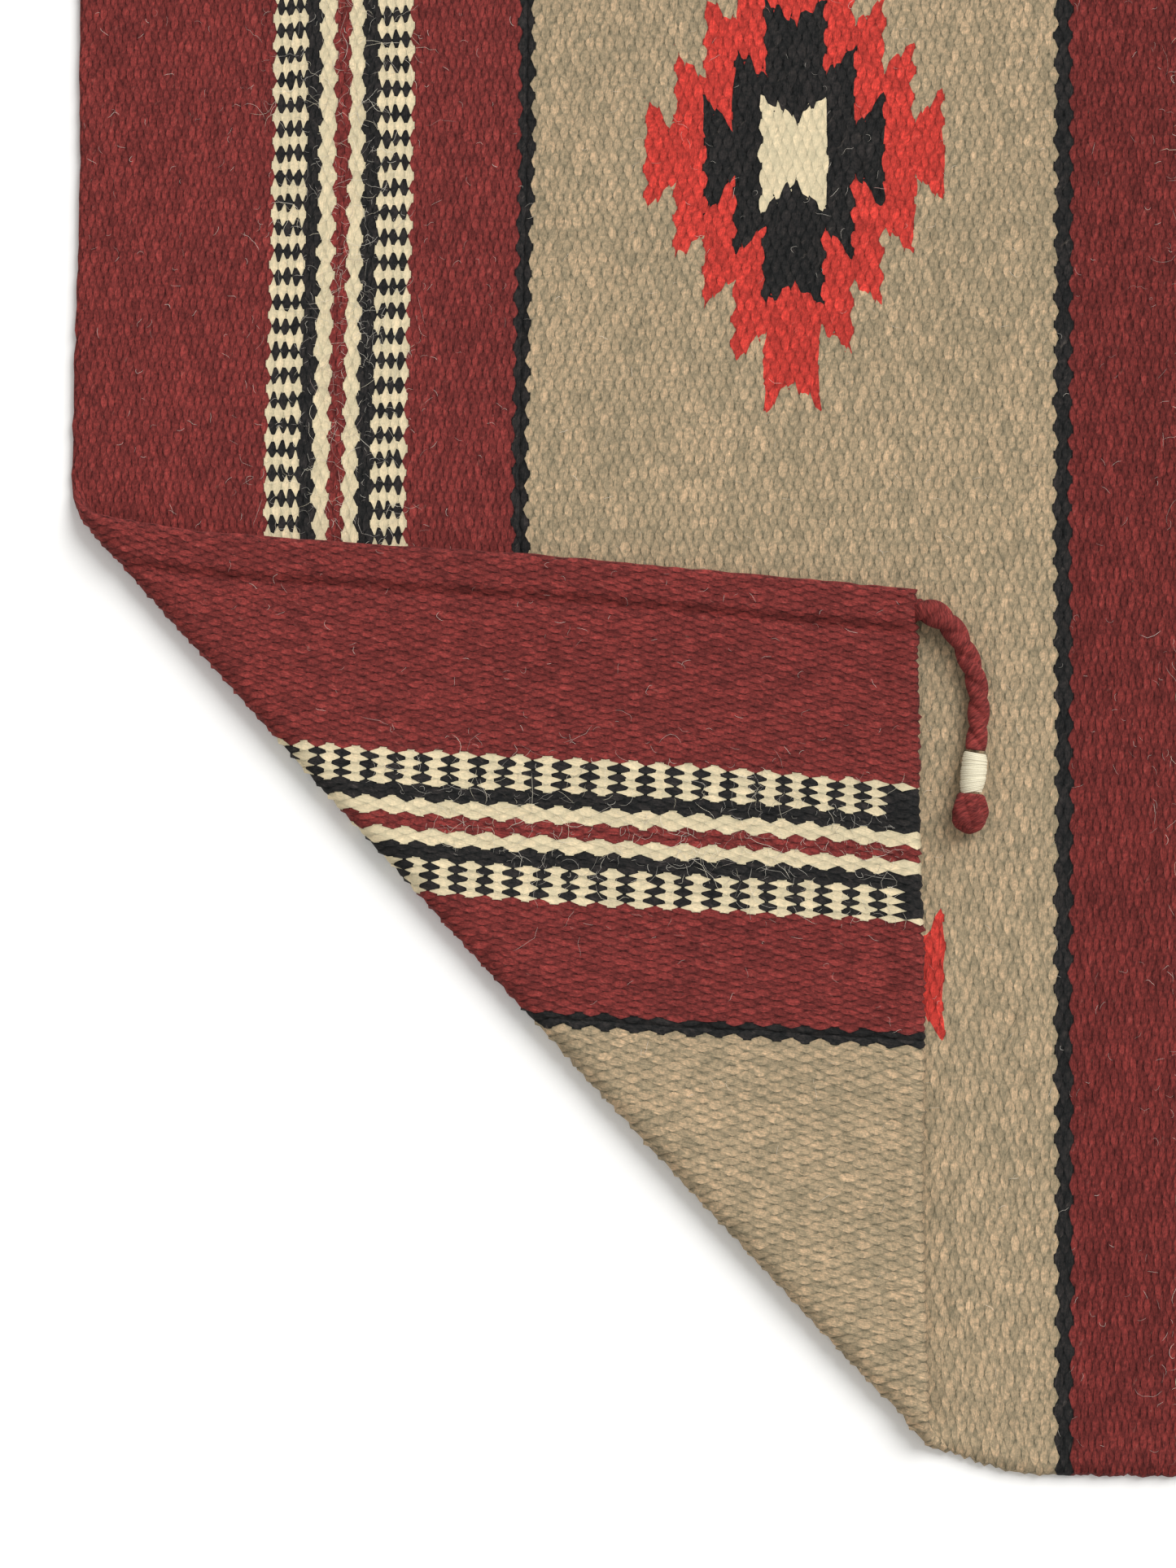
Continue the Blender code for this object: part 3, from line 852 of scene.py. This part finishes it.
tassel = {
    "diameter": 0.0045,
    # out from the selvedge, on towards the middle of the runner, and up
    "route": [(-0.0016, 0.0, 0.0015), (0.0008, 0.0, 0.0024), (0.0035, 0.0004, 0.0032),
              (0.0064, 0.0018, 0.0032), (0.0092, 0.0044, 0.0029), (0.0113, 0.0075, 0.0027),
              (0.0132, 0.0110, 0.0026), (0.0147, 0.0147, 0.00255), (0.0156, 0.0185, 0.00255),
              (0.0160, 0.0240, 0.00255), (0.0159, 0.0299, 0.00255)],
    "gap": 0.0003,  # between whipping and knot and under both; twice this between cord and whipping
    "flatAt": 0.0001,  # height above what it lies on where the wool is pressed flat
    "plyPitch": 0.0125,
    "roundness": 1.02,
    "oval": 0.05,
    "groove": 0.22,
    "grooveWidth": 0.42,
    "uneven": 0.05,
    # the cord is thickest just outside the hem: distance along it, and share of its diameter
    "fullAt": [0, 0.0012, 0.0025, 0.006, 0.014],
    "full": [0.50, 1.0, 1.30, 1.28, 1.08],
    "rings": 110,
    "around": 22,
}
whipping = {"radius": 0.0030, "length": 0.0088, "turns": 21, "thread": 0.00028, "looseness": 0.5, "taper": 0.15,
            "lean": 6, "leanRise": 26, "leanSpread": 2, "around": 28, "seed": 5}
knot = {
    "length": 0.0090,
    "width": 0.0083,
    "height": 0.0066,
    "swellAt": [0, 0.05, 0.2, 0.5, 0.72, 0.88, 0.96, 1.0],
    "swell": [0.64, 0.80, 0.93, 1.0, 0.92, 0.66, 0.36, 0.12],
    "strands": 5,
    "strandDepth": 0.17,
    "twist": 1.5,
    "cut": 0.10,
    "uneven": 0.13,
    "rings": 40,
    "around": 48,
}


def smoothRoute(points, count):
    # Evenly spread points along a smooth curve through the route's own
    points = np.array(points)
    ends = np.vstack([2 * points[0] - points[1], points, 2 * points[-1] - points[-2]])
    fine = []
    for before, a, b, after in zip(ends, ends[1:], ends[2:], ends[3:]):
        for t in np.arange(0, 1, 0.05):
            fine.append(0.5 * (2 * a + (b - before) * t + (2 * before - 5 * a + 4 * b - after) * t ** 2
                               + (3 * a - before - 3 * b + after) * t ** 3))
    fine = np.array(fine + [points[-1]])
    run = np.concatenate([[0], np.cumsum(np.linalg.norm(np.diff(fine, axis=0), axis=1))])
    wanted = np.linspace(0, run[-1], count)
    return np.stack([np.interp(wanted, run, fine[:, n]) for n in range(3)], axis=1), float(run[-1])


def gridTriangles(rings, around):
    _, _, (a, b, c, d) = quadCorners(rings, around)
    k = np.arange(around)
    beside = (k + 1) % around
    start = np.full(around, rings * around)
    last = (rings - 1) * around
    return np.concatenate([rows(a, b, c), rows(a, c, d), rows(start, k, beside),
                           rows(start + 1, last + beside, last + k)])


def sweep(name, path, radii, material, uvScale, liesOn):
    # A closed skin round a path; radii gives the distance out for each ring and angle
    rings, around = radii.shape
    ahead = np.gradient(path, axis=0)
    ahead /= np.linalg.norm(ahead, axis=1)[:, None]
    up = np.array([0.0, 0.0, 1.0])
    side = np.cross(ahead, up)
    angle = np.linspace(0, math.tau, around, endpoint=False)
    out = np.cos(angle)[None, :, None] * side[:, None, :] + np.sin(angle)[None, :, None] * up
    points = (path[:, None, :] + out * radii[..., None]).reshape(-1, 3)
    points = np.vstack([points, path[0], path[-1]])
    points[:, 2] = np.maximum(points[:, 2], liesOn + tassel["flatAt"])  # pressed flat where it lies
    run = np.concatenate([[0], np.cumsum(np.linalg.norm(np.diff(path, axis=0), axis=1))])
    u = np.broadcast_to(angle[None, :] / math.tau * uvScale[0], radii.shape)
    v = np.broadcast_to(run[:, None] * uvScale[1], radii.shape)
    uv = np.vstack([rows(u, v), [0, v[0, 0]], [0, v[-1, 0]]])
    return buildMesh(name, points, gridTriangles(rings, around), uv, material)


def makePliedCord(name, path, material, liesOn):
    # Two soft plies wound round each other, with a groove where they meet turning along the cord
    rings, around = tassel["rings"], tassel["around"]
    run = np.linspace(0, 1, rings)
    length = np.sum(np.linalg.norm(np.diff(path, axis=0), axis=1))
    angle = np.linspace(0, math.tau, around, endpoint=False)
    turn = run * length / tassel["plyPitch"] * math.tau
    facing = angle[None, :] - turn[:, None]
    groove = np.exp(-(np.cos(facing) / tassel["grooveWidth"]) ** 2)
    radii = tassel["diameter"] / 2 * (
        tassel["roundness"] + tassel["oval"] * np.cos(2 * facing) - tassel["groove"] * groove)
    fullness = np.interp(run * length, tassel["fullAt"] + [length], tassel["full"] + [1.0])
    radii = radii * fullness[:, None] * (1 + tassel["uneven"] * waver(run[:, None] * 40, angle[None, :], 21, 6))
    return sweep(name, path, radii, material, (6.0, 420.0), liesOn)


def makeWhipping(name, middle, onward, material):
    # Turns of thread side by side, each a ring of its own with a slight lean
    draw = np.random.default_rng(whipping["seed"])
    heading = math.atan2(onward.y, onward.x)
    radius, thin = whipping["radius"], whipping["thread"]
    turns = []
    for number in range(whipping["turns"]):
        along = (number + 0.5) / whipping["turns"] - 0.5
        lean = math.radians(whipping["lean"] + whipping["leanRise"] * along
                            + draw.uniform(-whipping["leanSpread"], whipping["leanSpread"]))
        loose = 1 + whipping["looseness"] * draw.uniform(0, 1)
        bpy.ops.mesh.primitive_torus_add(
            major_segments=whipping["around"], minor_segments=8,
            location=middle + onward * along * (whipping["length"] - thin),
            major_radius=(radius - thin * loose) * (1 - whipping["taper"] * abs(2 * along) ** 3),
            minor_radius=thin, rotation=(0, math.pi / 2, heading + lean))
        turns.append(bpy.context.active_object)
    bpy.ops.mesh.primitive_cylinder_add(
        vertices=whipping["around"], radius=radius * (1 - whipping["taper"]) - thin,
        depth=whipping["length"] * 0.96, location=middle, rotation=(0, math.pi / 2, heading))
    core = bpy.context.active_object
    bpy.ops.object.select_all(action="DESELECT")
    for turn in turns + [core]:
        turn.select_set(True)
    bpy.context.view_layer.objects.active = core
    bpy.ops.object.join()
    bpy.ops.object.transform_apply(location=True, rotation=True, scale=True)
    bpy.ops.object.shade_smooth_by_angle(angle=math.radians(50))
    core.name = name
    core.data.name = name
    core.data.materials.clear()
    core.data.materials.append(material)
    return core


def makeKnot(name, start, onward, material, liesOn):
    # Cut yarn ends gathered past the whipping: strands that swell, twist and come to a blunt tip
    run = np.linspace(0.0, 1.0, knot["rings"])
    angle = np.linspace(0, math.tau, knot["around"], endpoint=False)
    ahead, turn = run[:, None], angle[None, :]
    swell = np.interp(run, knot["swellAt"], knot["swell"])
    strand = np.abs(np.cos((turn - knot["twist"] * ahead) * knot["strands"] / 2)) ** 0.7
    cut = knot["cut"] * np.cos(turn * 2 + 0.6) * smoothStep((ahead - 0.5) / 0.4)
    bulge = (0.82 + knot["strandDepth"] * strand + cut
             + knot["uneven"] * waver(ahead * 5, np.sin(turn) * 2.4, 33, 3.0))
    flat = np.sqrt(1 / ((np.cos(angle) / (knot["width"] / 2)) ** 2 + (np.sin(angle) / (knot["height"] / 2)) ** 2))
    radii = swell[:, None] * bulge * flat[None, :]
    path = np.array([start + onward * (knot["length"] * r) for r in run])
    return sweep(name, path, radii, material, (8.0, 420.0), liesOn)


cordYarn = {"slope": 0.9, "stretch": (4.0, 0.6), "grain": (1.0, 3.0, 0.6), "light": (1.9, 0.05), "bumpDepth": 0.0004}
thread = {"colour": (0.72, 0.665, 0.50, 1), "fine": (5200, 3.0, 0.6), "slow": (900, 2.0, 0.5),
          "fineLight": 0.22, "slowLight": (0.16, 0.80), "roughness": (0.2, 0.6), "bumpDepth": 0.00008}


def makeYarnMaterial(name, colour, groups):
    # Twisted yarn: fibres run along the ply and wind round it
    material, tree, shader = startMaterial(name)
    u, v, _ = separate(tree, uvMap(tree, "weave"))
    across = timesPlus(tree, v, cordYarn["slope"], u)
    stretchU, stretchV = cordYarn["stretch"]
    fibre = grain(tree, combine(tree, times(tree, across, stretchU), times(tree, v, stretchV)),
                  *cordYarn["grain"])["Fac"]
    yarn = useGroup(tree, groups["wool"], Colour=colour, Weave=combine(tree, across, v), Side=1.0, Crown=0.8,
                    Along=0.0, Chance=0.5)
    streaked = shadeColour(tree, yarn["Colour"], timesPlus(tree, fibre, *cordYarn["light"]))
    finishWool(tree, shader, streaked, yarn["Roughness"], plus(tree, fibre, yarn["Height"]), cordYarn["bumpDepth"])
    return material


def makeThreadMaterial():
    material, tree, shader = startMaterial("creamThread")
    where = tree.nodes.new("ShaderNodeTexCoord").outputs["Object"]
    fine = grain(tree, where, *thread["fine"])["Fac"]
    slow = grain(tree, where, *thread["slow"])["Fac"]
    shade = timesPlus(tree, fine, thread["fineLight"], timesPlus(tree, slow, *thread["slowLight"]))
    tree.links.new(shadeColour(tree, thread["colour"], shade), shader.inputs["Base Color"])
    tree.links.new(timesPlus(tree, fine, *thread["roughness"]), shader.inputs["Roughness"])
    shader.inputs["Specular IOR Level"].default_value = 0.3
    addBump(tree, shader, fine, thread["bumpDepth"])
    return material


def makeTassel(name, body, corner, outward, onward, liesOn, materials):
    def place(along, across, height):
        flat = corner + along * outward + across * onward
        return Vector((flat[0], flat[1], liesOn + height))

    route = [place(*point) for point in tassel["route"]]
    path, length = smoothRoute(route, tassel["rings"])
    ahead = Vector((onward[0], onward[1], 0.0))
    endAlong, endAcross, _ = tassel["route"][-1]
    cord = makePliedCord(name + "_twine", path, materials["cord"], liesOn)
    windAt = endAcross + 2 * tassel["gap"] + whipping["length"] / 2
    wound = makeWhipping(name + "_binding", place(endAlong, windAt, whipping["radius"] + tassel["gap"]), ahead,
                         materials["thread"])
    tuftAt = windAt + whipping["length"] / 2 + tassel["gap"]
    tuft = makeKnot(name + "_tuft", place(endAlong, tuftAt, knot["height"] / 2 + tassel["gap"]), ahead,
                    materials["cord"], liesOn)
    for piece, node, slot in ((cord, "_cord", "maroon_wool"), (wound, "_whipping", "whipping_yarn"),
                              (tuft, "_knot", "maroon_wool")):
        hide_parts(name + node)
        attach(piece, body)


def foldPoint(point):
    # Where a point of the flat cloth comes to lie once the corner is folded
    normal = runner["creaseNormal"]
    return point - 2 * np.dot(point - runner["creasePoint"], normal) * normal


def makeTassels(materials):
    half = runner["halfWidth"]
    middle = hem["width"] / 2
    narrow = float(flareShare(middle))
    for end, sign in (("left", -1), ("right", 1)):
        for side, up in (("upper", 1), ("lower", -1)):
            drawIn = cloth["drawIn"][end + side.capitalize()] * narrow
            corner = np.array([runner[end] - sign * middle, up * (half - drawIn)])
            outward, onward = np.array([0.0, up]), np.array([-sign, 0.0])
            if (end, side) == ("left", "lower"):
                beyond, ahead = foldPoint(corner + outward), foldPoint(corner + onward)
                corner = foldPoint(corner)
                makeTassel("folded_tassel", "folded_corner", corner, beyond - corner, ahead - corner,
                           runner["clothTop"], materials)
            else:
                makeTassel(f"{end}_{side}_tassel", "runner", corner, outward, onward, 0.0, materials)


# loose fibres that stand off the wool

fuzz = {
    "count": 4700,
    "nearStripes": 0.72,  # share of the fibres that lie on and beside the pale stripes
    "spread": 9,  # how far from the middle of a stripe group those lie, in picks
    "longShare": 0.35,
    "long": (0.004, 0.010),
    "short": (0.0012, 0.0036),
    "bend": 0.20,  # uneven turns along a fibre, and the steady curl of the whole fibre
    "curl": 0.24,
    "lift": (0.00008, 0.00045),  # height over the wool at the ends, and how much more in the middle
    "steps": 7,
    "radius": 0.000031,
    "tint": (0.88, 0.82, 0.72, 1),
    "fromCrease": 0.014,  # no fibre starts nearer to the crease
    "pitch": (0.0009, 0.0030),  # one pick and one warp, near enough
    # first pick, last pick and share of the count
    "areas": {"left_fuzz": (1, 300, 1.0), "middle_fuzz": (300, 1764, 1.0), "right_fuzz": (1764, 2062, 0.5)},
    "seed": 23,
}


def sampleCloth(grid, p, w):
    # Bilinear look-up of a grid of points by pick and warp
    p = np.clip(p, 0, grid.shape[0] - 1.001)
    w = np.clip(w, 0, grid.shape[1] - 1.001)
    p0, w0 = p.astype(int), w.astype(int)
    fp, fw = (p - p0)[..., None], (w - w0)[..., None]
    return (grid[p0, w0] * (1 - fp) * (1 - fw) + grid[p0 + 1, w0] * fp * (1 - fw)
            + grid[p0, w0 + 1] * (1 - fp) * fw + grid[p0 + 1, w0 + 1] * fp * fw)


def makeFibres(name, body, grid, starts, lengths, material, draw):
    # Each loose fibre is a thin three-sided thread that wanders over the crowns
    count, steps = len(starts), fuzz["steps"]
    heading = draw.uniform(0, math.tau, count)
    bend = draw.normal(0, fuzz["bend"], (count, steps)) + draw.normal(0, fuzz["curl"], (count, 1))
    p, w = starts[:, 0].copy(), starts[:, 1].copy()
    least, arched = fuzz["lift"]
    pickPitch, warpPitch = fuzz["pitch"]
    track = []
    for step in range(steps):
        arch = math.sin(math.pi * step / (steps - 1))
        point = sampleCloth(grid, p, w)
        point[:, 2] += least + arched * arch * np.minimum(lengths / 0.004, 1.2)
        track.append(point)
        heading = heading + bend[:, step]
        p = p + np.cos(heading) * lengths / steps / pickPitch
        w = w + np.sin(heading) * lengths / steps / warpPitch
    track = np.stack(track, 1)
    ahead = np.gradient(track, axis=1)
    ahead /= np.linalg.norm(ahead, axis=2)[..., None] + 1e-12
    side = np.cross(ahead, (0, 0, 1.0))
    side /= np.linalg.norm(side, axis=2)[..., None] + 1e-12
    top = np.cross(side, ahead)
    thin = fuzz["radius"] * draw.uniform(0.7, 1.35, count)[:, None, None]
    taper = np.interp(np.arange(steps), [0, 1, steps - 2, steps - 1], [0.5, 1, 0.9, 0.2])[None, :, None]
    corners = [track + thin * taper * (math.cos(turn) * side + math.sin(turn) * top)
               for turn in (0, math.tau / 3, 2 * math.tau / 3)]
    points = np.stack(corners, 2).reshape(-1, 3)
    uv = np.repeat(starts, steps * 3, axis=0)
    base = (np.arange(count) * steps * 3)[:, None, None]
    _, _, (a, b, c, d) = quadCorners(steps, 3)
    last = (steps - 1) * 3
    ends = np.array([[0, 1, 2], [last, last + 2, last + 1]])
    triangles = np.concatenate([(part + base).reshape(-1, 3) for part in (rows(a, b, c), rows(a, c, d), ends)])
    piece = buildMesh(name, points, triangles, uv, material)
    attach(piece, body)


def makeFibreMaterial(groups):
    material, tree, shader = startMaterial("looseFibre")
    _, crown, colour = weaveColour(tree, groups)
    paler = timesPlus(tree, crown["Chance"], 0.6, 0.25)
    tree.links.new(blendColour(tree, paler, colour, fuzz["tint"]), shader.inputs["Base Color"])
    shader.inputs["Roughness"].default_value = 0.6
    shader.inputs["Specular IOR Level"].default_value = 0.3
    return material


def makeFuzz(weave, material):
    draw = np.random.default_rng(fuzz["seed"])
    *face, s = foldCorner(weave["x"], weave["y"], weave["face"])
    *back, _ = foldCorner(weave["x"], weave["y"], weave["back"])
    face, back = np.stack(face, -1), np.stack(back, -1)

    def scatter(count, lowPick, highPick):
        places = draw.uniform(lowPick, highPick, count)
        centres = [centre for stripe in plan["stripeCentres"] for centre in (stripe, 2 * plan["middle"] - stripe)
                   if lowPick < centre < highPick]
        close = draw.random(count) < fuzz["nearStripes"]
        places = np.where(close, draw.choice(centres, count) + draw.normal(0, fuzz["spread"], count), places)
        long = close & (draw.random(count) < fuzz["longShare"])
        lengths = np.where(long, draw.uniform(*fuzz["long"], count), draw.uniform(*fuzz["short"], count))
        warps = draw.uniform(1, plan["warps"] - 2, count)
        return np.stack([np.clip(places, lowPick, highPick), warps], -1), lengths

    for name, (lowPick, highPick, share) in fuzz["areas"].items():
        starts, lengths = scatter(int(fuzz["count"] * share), lowPick, highPick)
        depth = sampleCloth(s[..., None], starts[:, 0], starts[:, 1])[:, 0]
        flat, turned = depth > fuzz["fromCrease"], depth < -fuzz["fromCrease"]
        makeFibres(name, "runner", face, starts[flat], lengths[flat], material, draw)
        if name == "left_fuzz":
            makeFibres("folded_fuzz", "folded_corner", back, starts[turned], lengths[turned], material, draw)


# the floor

def makeFloor():
    bpy.ops.mesh.primitive_plane_add(size=90, location=(0, 0, -0.0002))
    floor = bpy.context.active_object
    floor.name = "floor"
    material, _, shader = startMaterial("paleFloor")
    shader.inputs["Base Color"].default_value = (0.93, 0.93, 0.92, 1)
    shader.inputs["Roughness"].default_value = 0.7
    floor.data.materials.append(material)


makeView()
weave = weaveCloth()
warpAcross = warpPlaces() * runner["halfWidth"]
diamondWarps = [float(np.round(2 * np.interp(-y, -warpAcross, np.arange(plan["warps"]))) / 2)
                for y in plan["diamondsAcross"]]
groups = {"lattice": makeLatticeGroup(), "wool": makeWoolGroup()}
groups["design"] = makeDesignGroup(makeDiamondGroup(), diamondWarps)
print("weave planned, diamonds at warps", diamondWarps)
materials = {"cloth": makeClothMaterial(groups), "cord": makeYarnMaterial("maroonYarn", yarns["Maroon"], groups),
             "thread": makeThreadMaterial()}
makeCloth(weave, materials["cloth"])
makeTassels(materials)
print("tassels made")
makeFuzz(weave, makeFibreMaterial(groups))
print("loose fibres laid")
makeFloor()
